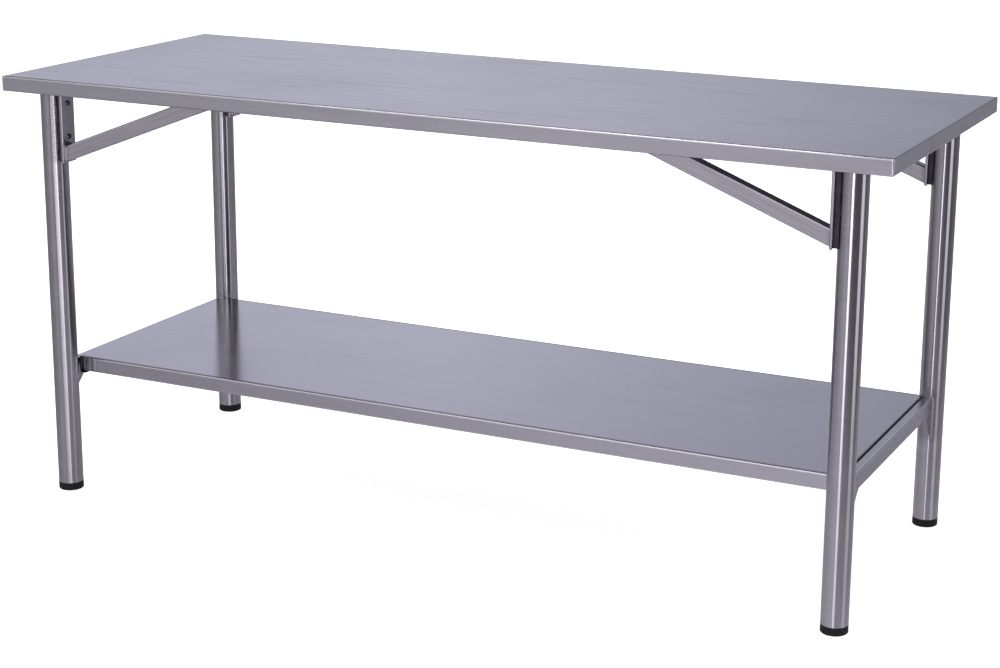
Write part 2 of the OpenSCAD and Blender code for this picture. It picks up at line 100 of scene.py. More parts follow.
STUD_MIN, STUD_MAX = box_of("foot_stud_front_right")
STUD_TOP = STUD_MAX[2]
COLLAR_RADIUS = (STUD_MAX[0] - STUD_MIN[0]) / 2
COLLAR_THICKNESS = 0.00381
COLLAR_LOW = STUD_MIN[2]
COLLAR_HIGH = COLLAR_LOW + COLLAR_THICKNESS


# Colours and shader nodes

# Nearly every value of a streaks or clouds pattern lies in this span
NOISE_SPAN = (0.3, 0.7)
# A Mix node has its share in socket 0 and its two colours in sockets 6 and 7
COLOURS = {"data_type": "RGBA", "output": 2}


def linear(code):
    """An sRGB hex colour turned linear, with alpha 1."""
    channels = [int(code[i:i + 2], 16) / 255 for i in (1, 3, 5)]
    return tuple(c / 12.92 if c <= 0.04045 else ((c + 0.055) / 1.055) ** 2.4 for c in channels) + (1.0,)


def add(tree, kind, *values, output=0, **settings):
    """Adds a shader node with its settings and links, and returns one of its outputs.

    The values fill its sockets in order, or are one dictionary that names the sockets. A socket is
    linked, a hex colour is turned linear and any other value is set as it is.
    """
    node = tree.nodes.new("ShaderNode" + kind)
    for name, value in settings.items():
        setattr(node, name, value)
    sockets = values[0] if values and isinstance(values[0], dict) else dict(enumerate(values))
    for name, value in sockets.items():
        if isinstance(value, bpy.types.NodeSocket):
            tree.links.new(value, node.inputs[name])
        else:
            node.inputs[name].default_value = linear(value) if isinstance(value, str) else value
    return node.outputs[output] if node.outputs else node


def streaks(tree, place, length_mm, width_mm, along, detail=3.0):
    """A pattern of light and dark drawn out along one axis of a point: 0 for X, 1 for Y and 2 for Z."""
    scale = [1 / (width_mm * MM)] * 3
    scale[along] = 1 / (length_mm * MM)
    drawn = add(tree, "Mapping", {"Vector": place, "Scale": scale})
    return add(tree, "TexNoise", {"Vector": drawn, "Scale": 1.0, "Detail": detail, "Roughness": 0.6})


def clouds(tree, place, size_mm, detail=3.0):
    """An even pattern of light and dark with features of one size."""
    return streaks(tree, place, size_mm, size_mm, 0, detail)


def near(tree, value, middle, reach, soft):
    """1 where a value lies within reach of the middle, falling to 0 over a soft edge."""
    offset = add(tree, "Math", value, middle, operation="SUBTRACT")
    away = add(tree, "Math", offset, operation="ABSOLUTE")
    return add(tree, "MapRange", away, reach, reach + soft, 1.0, 0.0, interpolation_type="SMOOTHSTEP")


def across_grain(tree, grain):
    """The direction in the surface at right angles to the grain, along which reflections are drawn out."""
    normal = add(tree, "NewGeometry", output="Normal")
    crossed = add(tree, "VectorMath", normal, grain, operation="CROSS_PRODUCT")
    return add(tree, "VectorMath", crossed, operation="NORMALIZE")


def material(name, inputs, links):
    """A material from a Principled shader's fixed inputs and a function that returns its linked ones."""
    made = bpy.data.materials.new(name)
    made.use_nodes = True
    tree = made.node_tree
    tree.nodes.clear()
    add(tree, "OutputMaterial", add(tree, "BsdfPrincipled", {**inputs, **links(tree)}))
    return made


# Camera: its place, turn and lens are fitted to the edges of the table in the photograph

IMAGE = (1000, 668)
FOCAL_PX = 2124.1
PRINCIPAL_PX = (542.5, 283.8)
CAMERA_AT = (1.8164, -3.6371, 1.5109)
CAMERA_TURN = (1.31865, -0.00987, 0.44084)
SENSOR_MM = 36.0


def make_camera():
    """The camera at the photograph's angle."""
    data = bpy.data.cameras.new("camera")
    data.sensor_width = SENSOR_MM
    data.lens = FOCAL_PX * SENSOR_MM / IMAGE[0]
    data.shift_x = (IMAGE[0] / 2 - PRINCIPAL_PX[0]) / IMAGE[0]
    data.shift_y = (PRINCIPAL_PX[1] - IMAGE[1] / 2) / IMAGE[0]
    camera = bpy.data.objects.new("camera", data)
    camera.location = CAMERA_AT
    camera.rotation_euler = CAMERA_TURN
    bpy.context.scene.collection.objects.link(camera)
    bpy.context.scene.camera = camera


# Studio: soft boxes, floor and walls

# Place, target, width and height, radiance, whether it lights matt things, and its grid's fan in degrees
SOFT_BOXES = {
    "front_box": ((1.02, -2.56, 0.6), (-0.3, 0.0, 0.6), (0.66, 1.4), 3.2, False, 180),
    "front_strip": ((-0.175, -2.1, 0.3), (-1.023, -1.57, 0.3), (0.86, 1.0), 1.25, False, 120),
    "side_box": ((2.35, -0.33, 1.2), (0.8, 0.0, 1.2), (0.72, 2.6), 1.05, False, 180),
    "top_box": ((-0.3, -0.7, 2.9), (-0.3, -0.4, 0.8), (1.0, 0.6), 5.0, True, 180),
    "middle_top_box": ((-1.15, -0.7, 2.9), (-1.15, -0.4, 0.8), (0.7, 0.6), 3.2, False, 180),
    "left_top_box": ((-1.9, -0.7, 2.9), (-1.9, -0.4, 0.8), (0.8, 0.6), 1.0, False, 180),
}
LAMP_COLOUR = "#FFFDFF"
FLOOR_HALF = 30.0
PAPER_LOW = (-2.5, -2.1)
PAPER_HIGH = (1.7, 1.4)
PAPER_Z = -0.002
# Spans of x over which the paper grows lighter and then a little darker
PAPER_RISE = (-1.3, 0.6)
PAPER_FALL = (0.80, 1.05)

# Brightness and tint of the walls that the steel mirrors, by compass angle from +X towards +Y
WALLS = [(-180, "#888789"), (-150, "#9B9A9D"), (-128, "#AAA9AD"), (-114, "#C6C5CB"), (-102, "#B4B2B8"),
         (-85, "#9A989E"), (-65, "#454447"), (-25, "#5C5B5F"), (5, "#66656A"), (30, "#727176"),
         (50, "#84838A"), (75, "#908F97"), (90, "#9DA0A9"), (103, "#BBBECD"), (110, "#D3D3E3"),
         (118, "#E9E9F9"), (130, "#DADAEB"), (150, "#A8A8B2"), (180, "#888789")]
# These spans and heights are parts of a direction one unit long: the walls darken into the ceiling, and
# the bank of lamps stands in front, at one height
CEILING_SPAN = (0.12, 0.65)
CEILING_SHARE = 0.35
BANK_FRONT_SPAN = (-0.35, -0.15)
BANK_HEIGHT = 0.63
BANK_REACH = (0.20, 0.06)
BANK_SHARE = 1.6


def soft_box(name, place, target, size, radiance, diffuse, fan):
    """A rectangular soft box at a place, turned to a target. It shows in the steel but not to the camera."""
    data = bpy.data.lights.new(name, "AREA")
    data.shape = "RECTANGLE"
    data.size, data.size_y = size
    data.energy = radiance * math.pi * size[0] * size[1]
    data.spread = math.radians(fan)
    data.color = linear(LAMP_COLOUR)[:3]
    light = bpy.data.objects.new(name, data)
    light.location = place
    aim = np.subtract(target, place)
    tilt = math.atan2(math.hypot(aim[0], aim[1]), -aim[2])
    light.rotation_euler = (tilt, 0.0, math.atan2(-aim[0], aim[1]))
    light.visible_camera = False
    light.visible_diffuse = diffuse
    bpy.context.scene.collection.objects.link(light)


def make_sheet(name, low, high, z, paint):
    """A flat rectangle of the studio between two corners."""
    corners = [(low[0], low[1], z), (high[0], low[1], z), (high[0], high[1], z), (low[0], high[1], z)]
    mesh = bpy.data.meshes.new(name)
    mesh.from_pydata(corners, [], [(0, 1, 2, 3)])
    mesh.materials.append(paint)
    flat = bpy.data.objects.new(name, mesh)
    bpy.context.scene.collection.objects.link(flat)
    return flat


def matt_white_floor():
    """White studio floor with a matt coat: it shows no reflection, and glows as if lit from all round."""
    glow = {"Roughness": 0.9, "Specular IOR Level": 0.0, "Base Color": "#ECECEE",
            "Emission Color": "#FFFFFF", "Emission Strength": 0.75}
    return material("matt_white_floor", glow, lambda tree: {})


def satin_floor_paper():
    """Grey coated paper: its satin face gives the steel above a soft grey to mirror.

    It grows lighter from left to right, and a little darker again at its right end.
    """
    def links(tree):
        x = add(tree, "SeparateXYZ", add(tree, "TexCoord", output="Object"), output="X")
        lighter = add(tree, "MapRange", x, *PAPER_RISE, 0.0, 1.0)
        shade = add(tree, "Mix", {0: lighter, 6: "#737178", 7: "#9E9CA3"}, **COLOURS)
        right = add(tree, "MapRange", x, *PAPER_FALL, 0.0, 1.0)
        return {"Base Color": add(tree, "Mix", {0: right, 6: shade, 7: "#8B8990"}, **COLOURS)}
    return material("satin_grey_floor_paper", {"Roughness": 0.13, "Specular IOR Level": 1.0}, links)


def make_floor():
    """A pale floor that the camera sees, and the grey paper under it that the steel mirrors instead."""
    floor = make_sheet("floor", (-FLOOR_HALF, -FLOOR_HALF), (FLOOR_HALF, FLOOR_HALF), 0.0, matt_white_floor())
    floor.visible_glossy = False
    floor.visible_shadow = False
    paper = make_sheet("floor_paper", PAPER_LOW, PAPER_HIGH, PAPER_Z, satin_floor_paper())
    paper.visible_camera = False
    paper.visible_diffuse = False
    paper.visible_shadow = False


def wall_colour(tree, x, y):
    """The colour of the wall in a direction, from the table of walls by compass angle."""
    angle = add(tree, "Math", y, x, operation="ARCTAN2")
    turn = add(tree, "MapRange", angle, -math.pi, math.pi, 0.0, 1.0)
    colour = add(tree, "ValToRGB", turn)
    elements = colour.node.color_ramp.elements
    for degrees, _ in WALLS[1:-1]:
        elements.new((degrees + 180) / 360)
    for element, (degrees, code) in zip(elements, WALLS):
        element.position = (degrees + 180) / 360
        element.color = linear(code)
    return colour


def make_world():
    """A pale studio, plain to the camera.

    The steel mirrors walls that differ all round, a dark ceiling, and a bank of lamps high up on the
    camera's side that only the rounded folds and the beads catch.
    """
    world = bpy.data.worlds.new("studio")
    bpy.context.scene.world = world
    world.use_nodes = True
    tree = world.node_tree
    tree.nodes.clear()
    x, y, z = add(tree, "SeparateXYZ", add(tree, "TexCoord", output="Generated")).node.outputs
    ceiling = add(tree, "MapRange", z, *CEILING_SPAN, 1.0, CEILING_SHARE)
    front = add(tree, "MapRange", y, *BANK_FRONT_SPAN, 1.0, 0.0)
    bank = add(tree, "Math", front, near(tree, z, BANK_HEIGHT, *BANK_REACH), operation="MULTIPLY")
    strength = add(tree, "Math", bank, BANK_SHARE, ceiling, operation="MULTIPLY_ADD")
    walls = add(tree, "Background", wall_colour(tree, x, y), strength)
    plain = add(tree, "Background", "#FCFCFE", 1.0)
    glossy = add(tree, "LightPath", output="Is Glossy Ray")
    add(tree, "OutputWorld", add(tree, "MixShader", glossy, plain, walls))


def make_studio():
    """Floor, surroundings and soft boxes, shown without a film curve."""
    bpy.context.scene.view_settings.view_transform = "Standard"
    make_floor()
    make_world()
    for name, values in SOFT_BOXES.items():
        soft_box(name, *values)


# Surfaces swept from a profile

def grid_faces(rows, columns, closed_rows, closed_columns):
    """Four-cornered faces between the points of a grid, closed round in either direction."""
    i = np.arange(rows if closed_rows else rows - 1)
    j = np.arange(columns if closed_columns else columns - 1)
    i, j = (part.ravel() for part in np.meshgrid(i, j, indexing="ij"))
    i2, j2 = (i + 1) % rows, (j + 1) % columns
    return np.stack([i * columns + j, i * columns + j2, i2 * columns + j2, i2 * columns + j], axis=1)


def pole_faces(sides, last, low_pole, high_pole):
    """Triangles from the first ring to the low pole and from the ring that starts at last to the high one."""
    j = np.arange(sides)
    k = (j + 1) % sides
    return [np.stack([k, j, np.full_like(j, low_pole)], axis=1),
            np.stack([last + j, last + k, np.full_like(j, high_pole)], axis=1)]


def make_piece(name, parts, finish, body, sharp=None):
    """One object from a list of (points, faces) shells, on a CAD body, its faces turned outwards."""
    points, corners, counts = [], [], []
    start = 0
    for shell_points, shell_faces in parts:
        points.append(shell_points)
        for faces in shell_faces:
            corners.append(faces.ravel() + start)
            counts.append(np.full(len(faces), faces.shape[1]))
        start += len(shell_points)
    points, corners, counts = np.concatenate(points), np.concatenate(corners), np.concatenate(counts)
    mesh = bpy.data.meshes.new(name)
    mesh.vertices.add(len(points))
    mesh.vertices.foreach_set("co", points.ravel())
    mesh.loops.add(len(corners))
    mesh.loops.foreach_set("vertex_index", corners)
    mesh.polygons.add(len(counts))
    mesh.polygons.foreach_set("loop_start", np.cumsum(counts) - counts)
    mesh.update(calc_edges=True)
    mesh.polygons.foreach_set("use_smooth", np.ones(len(counts), bool))
    if sharp is not None:
        mesh.set_sharp_from_angle(angle=math.radians(sharp))
    mesh.validate()
    mesh.materials.append(finish)
    piece = bpy.data.objects.new(name, mesh)
    bpy.context.scene.collection.objects.link(piece)
    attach(piece, body)
    return piece


# Weld beads

# Length of a ripple, rings to a ripple, sides of a ring, how deep the ripples are cut and how far they
# bow, and the smallest part of its radius that an open end's first ring stands from the pole
BEAD_PITCH = 0.0022
BEAD_STEPS = 6
BEAD_SIDES = 10
BEAD_RELIEF = 0.16
BEAD_LAG = 0.35
SMALLEST_END = 0.02


def bead(path, radius, closed=False):
    """The shell of a weld bead along a path.

    A ring of the bead's radius is swept along the path. At length s and angle a round the ring the
    radius is R (1 + relief (|cos(pi (s / pitch - lag cos a))| - 1)), which stacks it up of curved
    ripples as a welder's dabs do. An open bead's ends shrink to a pole over one radius.
    """
    steps = np.linalg.norm(np.diff(path, axis=0, append=path[:1]), axis=1)
    total = steps.sum() if closed else steps[:-1].sum()
    along = np.concatenate([[0.0], np.cumsum(steps)])[:len(path) + int(closed)]
    ripples = max(int(round(total / BEAD_PITCH)), 2)
    count = ripples * BEAD_STEPS
    s = np.linspace(0.0, total, count, endpoint=not closed)
    track = np.concatenate([path, path[:1]]) if closed else path
    middle = np.stack([np.interp(s, along, track[:, k]) for k in range(3)], axis=1)
    forward = np.roll(middle, -1, axis=0) - np.roll(middle, 1, axis=0)
    if not closed:
        forward[0], forward[-1] = middle[1] - middle[0], middle[-1] - middle[-2]
    forward /= np.linalg.norm(forward, axis=1, keepdims=True)
    flattest_axis = np.ptp(path, axis=0).argmin()
    first = np.zeros_like(middle)
    first[:, flattest_axis] = 1.0
    first -= forward * (forward * first).sum(axis=1, keepdims=True)
    first /= np.linalg.norm(first, axis=1, keepdims=True)
    second = np.cross(forward, first)
    a = np.linspace(0.0, 2 * math.pi, BEAD_SIDES, endpoint=False)
    phase = s[:, None] / total * ripples - BEAD_LAG * np.cos(a)[None, :]
    size = radius * (1 + BEAD_RELIEF * (np.abs(np.cos(math.pi * phase)) - 1))
    if not closed:
        end = np.minimum(s, total - s) / radius
        size *= np.sqrt(np.clip(1 - (1 - np.clip(end, SMALLEST_END, 1.0)) ** 2, 0.0, 1.0))[:, None]
    ring = np.cos(a)[None, :, None] * first[:, None, :] + np.sin(a)[None, :, None] * second[:, None, :]
    points = (middle[:, None, :] + size[:, :, None] * ring).reshape(-1, 3)
    faces = [grid_faces(count, BEAD_SIDES, closed, True)]
    if not closed:
        faces += pole_faces(BEAD_SIDES, (count - 1) * BEAD_SIDES, len(points), len(points) + 1)
        points = np.concatenate([points, middle[:1], middle[-1:]])
    return points, faces


def arc(centre, radius, start, stop, z, count=24):
    """Points on a level arc, its angles in degrees from +X towards +Y."""
    a = np.radians(np.linspace(start, stop, count))
    x = centre[0] + radius * np.cos(a)
    y = centre[1] + radius * np.sin(a)
    return np.stack([x, y, np.full(count, z)], axis=1)


def rounded_loop(half_across, half_up, power, count):
    """The two coordinates of a loop round a box tube's section, centred on it.

    At angle a they are A sign(cos a) |cos a| ^ p and B sign(sin a) |sin a| ^ p, and the corners are
    the sharper the smaller the power p is.
    """
    a = np.linspace(0.0, 2 * math.pi, count, endpoint=False)
    across, up = (np.sign(wave) * np.abs(wave) ** power for wave in (np.cos(a), np.sin(a)))
    return half_across * across, half_up * up


def upright(x, y, low, high):
    """The two ends of a vertical line."""
    return np.array([(x, y, low), (x, y, high)])


# Radii of the beads, and half the length, inset and number of the short ones on the bracket channel
RAIL_OUTER_BEAD = 0.0017
RAIL_INNER_BEAD = 0.0015
RAIL_TOP_BEAD = 0.0018
BRACKET_BEAD = 0.0014
BRACE_FOOT_BEAD = 0.0016
LEG_TOP_BEAD = 0.0018
MOUNT_BEAD = 0.0013
MOUNT_BEAD_HALF = 0.011
MOUNT_BEAD_INSET = 0.014
MOUNT_BEADS = 3
# How far the rail's beads stop short of the gusset's bottom and, outside and inside, of the rail's top
RAIL_BEAD_FOOT = 0.001
RAIL_OUTER_STOP = 0.002
RAIL_INNER_STOP = 0.003
# Powers of the loops round the brace's section, and their numbers of points
BRACKET_LOOP = (0.28, 96)
BRACE_FOOT_LOOP = (0.2, 128)
LEG_RING_POINTS = 97
# How far the middle line of a bead stands off the face that it lies on
BEAD_CLEAR = 0.0002
BEAD_WIDE_CLEAR = 0.0003


def rail_welds(side, end):
    """A bead up each face of the rail's web and gusset, and one round the leg on the rail's flange."""
    reach = math.sqrt(LEG_RADIUS ** 2 - (RAIL_OUTER - LEG_X) ** 2)
    y = end * (LEG_Y - reach)
    half = math.degrees(math.asin((RAIL_OUTER - LEG_X) / LEG_RADIUS))
    toward = -90 * end
    foot = GUSSET_BOTTOM + RAIL_BEAD_FOOT
    outer = upright(side * (RAIL_OUTER + BEAD_CLEAR), y, foot, RAIL_TOP - RAIL_OUTER_STOP)
    inner = upright(side * (RAIL_OUTER - RAIL_SHEET - BEAD_CLEAR), y, foot, RAIL_TOP - RAIL_INNER_STOP)
    top = arc((side * LEG_X, end * LEG_Y), LEG_RADIUS + BEAD_WIDE_CLEAR, toward - half, toward + half,
              RAIL_TOP + BEAD_CLEAR)
    return [bead(outer, RAIL_OUTER_BEAD), bead(inner, RAIL_INNER_BEAD), bead(top, RAIL_TOP_BEAD)]


def bracket_weld(side, end):
    """A closed bead round the brace where it meets the bracket plate's face."""
    y, z = rounded_loop(BRACE_HALF, BRACE_HEIGHT / 2 / math.cos(BRACE_ANGLE), *BRACKET_LOOP)
    x = np.full_like(y, side * (PLATE_FACE - BEAD_WIDE_CLEAR))
    return [bead(np.stack([x, end * LEG_Y + y, BRACE_LOW + z], axis=1), BRACKET_BEAD, closed=True)]


def brace_foot_weld(side, end):
    """A closed bead round the brace's upper end, under its foot plate."""
    x, y = rounded_loop((BRACE_ENDS[1] - BRACE_ENDS[0]) / 2, BRACE_HALF, *BRACE_FOOT_LOOP)
    x = side * (sum(BRACE_ENDS) / 2 + x)
    loop = np.stack([x, end * LEG_Y + y, np.full_like(x, LEG_TOP)], axis=1)
    return [bead(loop, BRACE_FOOT_BEAD, closed=True)]


def leg_top_weld(side, end):
    """A closed bead round the top of the leg, under its plate."""
    centre = (side * LEG_X, end * LEG_Y)
    ring = arc(centre, LEG_RADIUS + BEAD_CLEAR, 0, 360, LEG_TOP, LEG_RING_POINTS)[:-1]
    return [bead(ring, LEG_TOP_BEAD, closed=True)]


def mount_welds(side, end):
    """Short beads down each flange of the channel behind the bracket plate."""
    x = side * (LEG_X - math.sqrt(LEG_RADIUS ** 2 - MOUNT_HALF ** 2))
    low, high = MOUNT_SPAN
    beads = []
    for face in (-1, 1):
        for middle in np.linspace(low + MOUNT_BEAD_INSET, high - MOUNT_BEAD_INSET, MOUNT_BEADS):
            y = end * LEG_Y + face * (MOUNT_HALF + BEAD_CLEAR)
            beads.append(bead(upright(x, y, middle - MOUNT_BEAD_HALF, middle + MOUNT_BEAD_HALF), MOUNT_BEAD))
    return beads


def make_welds(bright, scorched):
    """Every joint's weld beads, one piece for each corner and kind of joint."""
    kinds = {"rail_welds": (rail_welds, bright), "bracket_weld": (bracket_weld, bright),
             "brace_foot_weld": (brace_foot_weld, bright), "leg_top_weld": (leg_top_weld, bright),
             "mount_welds": (mount_welds, scorched)}
    for corner, (side, end) in CORNERS.items():
        for kind, (shells, finish) in kinds.items():
            make_piece(f"{kind}_{corner}", shells(side, end), finish, "table")


# Threaded studs of the feet

# The thread's pitch, radii, rings to a pitch, flatness and run-out, then the tip, collar and hex socket
THREAD_PITCH = 0.0015
THREAD_CREST = 0.00495
THREAD_ROOT = 0.0041
THREAD_STEPS = 10
THREAD_FLAT_TOP = 1.3
THREAD_RUN_OUT = 0.001
TIP_RADIUS = 0.0034
COLLAR_CHAMFER = 0.0003
COLLAR_SHOULDER = 0.0002
KEY_HALF = 0.0025
KEY_DEPTH = 0.006
STUD_SIDES = 48
SHARP_DEGREES = 35


def thread_radii(z, u, low, high):
    """The radius of the shank at heights z and angles u.

    It is root + (crest - root) w, where w is a flat-topped wave of height / pitch - angle / full turn
    that fades out over the run-out at both ends.
    """
    wave = np.abs((z[:, None] / THREAD_PITCH - u[None, :] / (2 * math.pi)) % 1.0 * 2 - 1)
    wave = np.clip((wave - 0.5) * THREAD_FLAT_TOP + 0.5, 0.0, 1.0)
    ends = np.minimum((z - low) / THREAD_RUN_OUT, (high - z) / THREAD_RUN_OUT).clip(0.0, 1.0)
    return THREAD_ROOT + (THREAD_CREST - THREAD_ROOT) * wave * ends[:, None]


def threaded_stud(corner, side, end, finish):
    """The levelling stud: hex socket, collar and a rolled M10 thread.

    One grid of rings from the socket's bottom to the stud's top. A ring's radius is the hexagon's
    flat distance / cos(angle from the flat) in the socket, a step for the collar, and that of the
    thread on the shank.
    """
    u = np.linspace(0.0, 2 * math.pi, STUD_SIDES, endpoint=False)
    hexagon = KEY_HALF / np.cos((u + math.pi / 6) % (math.pi / 3) - math.pi / 6)
    flat = np.ones_like(u)
    socket_top = COLLAR_LOW + KEY_DEPTH
    rows = [(hexagon, socket_top), (hexagon, COLLAR_LOW),
            (flat * (COLLAR_RADIUS - COLLAR_CHAMFER), COLLAR_LOW),
            (flat * COLLAR_RADIUS, COLLAR_LOW + COLLAR_CHAMFER),
            (flat * COLLAR_RADIUS, COLLAR_HIGH - COLLAR_CHAMFER),
            (flat * (COLLAR_RADIUS - COLLAR_CHAMFER), COLLAR_HIGH), (flat * THREAD_ROOT, COLLAR_HIGH)]
    low, high = COLLAR_HIGH + COLLAR_SHOULDER, STUD_TOP - THREAD_RUN_OUT
    z = np.linspace(low, high, int((high - low) / THREAD_PITCH * THREAD_STEPS))
    radii = np.concatenate([np.array([row[0] for row in rows]), thread_radii(z, u, low, high),
                            [flat * TIP_RADIUS]])
    heights = np.concatenate([[row[1] for row in rows], z, [STUD_TOP]])
    points = np.stack([side * LEG_X + radii * np.cos(u), end * LEG_Y + radii * np.sin(u),
                       np.broadcast_to(heights[:, None], radii.shape)], axis=2).reshape(-1, 3)
    poles = np.array([(side * LEG_X, end * LEG_Y, socket_top), (side * LEG_X, end * LEG_Y, STUD_TOP)])
    faces = [grid_faces(len(heights), STUD_SIDES, False, True)]
    faces += pole_faces(STUD_SIDES, (len(heights) - 1) * STUD_SIDES, len(points), len(points) + 1)
    piece = make_piece(f"threaded_stud_{corner}", [(np.concatenate([points, poles]), faces)], finish,
                       f"stud_{corner}", sharp=SHARP_DEGREES)
    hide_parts(f"foot_stud_{corner}")


# Ground stainless steel

# Lengths of the fine and the broad streaks, how much wider the broad ones are, and the share of each
FINE_LENGTH_MM = 70
BROAD_LENGTH_MM = 600
BROAD_WIDTH = 8
FINE_SHARE = 0.55
BROAD_SHARE = 0.45
SCRATCH_DEPTH_MM = 0.2
# Strength of the scratches' relief and span of the roughness, both as parts of a sheet's own roughness
SCRATCH_RELIEF = 0.7
ROUGH_SPAN = (0.8, 1.2)


def ground_steel(name, grain, shades, roughness, anisotropy, streak_mm, marks, turn=0.0):
    """Stainless steel ground with a belt along one direction.

    The belt's scratches draw every reflection out across the grain and leave fine light and dark
    streaks along it. The real scratches are about 0.05 mm wide, too fine to show, so the streaks
    are drawn wider, as bundles of them. A grain that slopes is drawn on a point turned level.
    """
    def links(tree):
        place = add(tree, "TexCoord", output="Object")
        axis = int(np.argmax(np.abs(grain)))
        level = place
        if turn:
            level = add(tree, "VectorRotate", {"Vector": place, "Angle": turn}, rotation_type="Y_AXIS")
        fine = streaks(tree, level, FINE_LENGTH_MM, streak_mm, axis)
        broad = streaks(tree, level, BROAD_LENGTH_MM, streak_mm * BROAD_WIDTH, axis)
        share = add(tree, "Math", broad, BROAD_SHARE, operation="MULTIPLY")
        bundle = add(tree, "Math", fine, FINE_SHARE, share, operation="MULTIPLY_ADD")
        tone = add(tree, "MapRange", bundle, *NOISE_SPAN, 0.0, 1.0)
        colour = add(tree, "Mix", {0: tone, 6: shades[0], 7: shades[1]}, **COLOURS)
        rough = add(tree, "MapRange", bundle, *NOISE_SPAN, *(part * roughness for part in ROUGH_SPAN))
        colour, rough = marks(tree, place, colour, rough)
        normal = add(tree, "Bump", {"Height": fine, "Strength": SCRATCH_RELIEF * roughness,
                                    "Distance": SCRATCH_DEPTH_MM * MM})
        return {"Base Color": colour, "Roughness": rough, "Normal": normal,
                "Tangent": across_grain(tree, grain)}
    return material(name, {"Metallic": 1.0, "Anisotropic": anisotropy}, links)


# Dark grey of the unground mill skin, also painted shade on hidden and recessed faces
MILL_SKIN = "#48464C"
MILL_DULLNESS = 0.14
# Dark of the wiped smears, also the painted shade of the line inside the folds
DARK_LINE = "#3A3940"
DARK_LINE_SHARE = 0.6
# Painted highlight along the rail's upper fold and the brace's rolled corners
LIGHT_LINE = "#F6F4FB"
LIGHT_LINE_SHARE = 0.8
# Painted highlight down on the sheets' folds
FOLD_LIGHT = "#FAF9FD"
FOLD_LIGHT_SHARE = 0.45
# Painted shade that darkens the rail's web
WEB_GREY = "#8E8C94"
WEB_SHARE = 0.72
# Painted shade on the shelf's end faces in the dark beside the rails
END_DARK = "#101012"
STRAW_TINT = "#8C8176"
BLUE_TINT = "#6E7080"
SMUDGE_PALE = "#BFBDC9"
SEAM_PALE = "#E2DFE6"

# Sizes in millimetres of the patches, the tint, the smudges, the smears and the ground seams' clouds
PATCH_MM = 4
TINT_MM = 9
SMUDGE_MM = 260
SMEAR_MM = (240, 45)
SEAM_CLOUD_MM = 3

# Spans of their patterns over which smudges and smears come in, and the least share in a patch and a seam
SMUDGE_SPAN = (0.50, 0.75)
SMEAR_SPAN = (0.56, 0.72)
PATCH_LEAST = 0.35
SEAM_LEAST = 0.3

# How strongly heat tints and roughens, and how strongly smudges and seams do
TINT_SHARE = 0.45
HEAT_DULLNESS = 0.08
SMUDGE_SHARE = 0.06
SMUDGE_DULLNESS = 0.02
SEAM_DULLNESS = 0.12

# Spans of distance from a piece's outermost faces, negative inwards, over which a mark comes or goes
FLAT_SPAN = (-0.0010, -0.0004)
FOLD_SIDE_SPAN = (-0.0018, -0.0010)
FOLD_TOP_SPAN = (-1.4 * FOLD_RADIUS, -FOLD_RADIUS)
END_SPAN = (-0.0016, -0.0012)
END_TOP_SPAN = (-0.0010, -0.0006)
FLANGE_SPAN = (-0.0032, -0.0014)
FLANGE_EDGE_SPAN = (-0.0052, -0.0030)
# Distances behind the bracket plate's face between which the ends of its lips, in painted shade, begin
LIP_END_SPAN = (0.0050, 0.0062)
# Depths, as parts of the sheet's thickness, between which its inner face begins
INNER_FACE_SPAN = (-0.95, -0.85)

# Reach of a mark on both sides of its middle, and the width over which it then fades
SEAM_REACH = (0.002, 0.005)
# Where the painted shade line lies inside the folds
BRINK_REACH = (0.0030, 0.0012)
BRINK_MIDDLE = -0.0048
# Painted highlight along the brace's rolled upper corners
BRACE_LINE_REACH = (0.0010, 0.0006)
BRACE_LINE_INSET = 0.0018
RAIL_HEAT_REACH = (0.003, 0.011)
BRACKET_HEAT_REACH = (0.017, 0.009)
BRACE_HEAT_REACH = (0.002, 0.009)


def mill_skin(tree, inside, colour, rough):
    """The dull skin of cold rolling, where a share of 1 says that the belt never reached; its dark grey
    is also painted shade on these hidden and recessed faces.
    """
    colour = add(tree, "Mix", {0: inside, 6: colour, 7: MILL_SKIN}, **COLOURS)
    return colour, add(tree, "Math", inside, MILL_DULLNESS, rough, operation="MULTIPLY_ADD")


def inside_of(tree, depth, sheet):
    """1 on a folded sheet's inner face, where the depth, 0 outside and negative inwards, is the sheet's."""
    return add(tree, "MapRange", depth, *(part * sheet for part in INNER_FACE_SPAN), 1.0, 0.0)


def weld_heat(tree, place, heated, colour, rough):
    """Straw and blue tint with a scoured look where a surface was heated by welding."""
    patchy = add(tree, "MapRange", clouds(tree, place, PATCH_MM), *NOISE_SPAN, PATCH_LEAST, 1.0)
    patch = add(tree, "Math", heated, patchy, operation="MULTIPLY")
    tone = add(tree, "MapRange", clouds(tree, place, TINT_MM), *NOISE_SPAN, 0.0, 1.0)
    tint = add(tree, "Mix", {0: tone, 6: STRAW_TINT, 7: BLUE_TINT}, **COLOURS)
    share = add(tree, "Math", patch, TINT_SHARE, operation="MULTIPLY")
    colour = add(tree, "Mix", {0: share, 6: colour, 7: tint}, **COLOURS)
    return colour, add(tree, "Math", patch, HEAT_DULLNESS, rough, operation="MULTIPLY_ADD")


def hand_marks(tree, place, smears, colour, rough):
    """Pale smudges as wide as a hand, and dark smears that a cloth has left along the sheet."""
    smudge = add(tree, "MapRange", clouds(tree, place, SMUDGE_MM, 0.0), *SMUDGE_SPAN, 0.0, 1.0)
    share = add(tree, "Math", smudge, SMUDGE_SHARE, operation="MULTIPLY")
    colour = add(tree, "Mix", {0: share, 6: colour, 7: SMUDGE_PALE}, **COLOURS)
    rough = add(tree, "Math", smudge, SMUDGE_DULLNESS, rough, operation="MULTIPLY_ADD")
    smear = add(tree, "MapRange", streaks(tree, place, *SMEAR_MM, 0, 1.5), *SMEAR_SPAN, 0.0, smears)
    return add(tree, "Mix", {0: smear, 6: colour, 7: DARK_LINE}, **COLOURS), rough


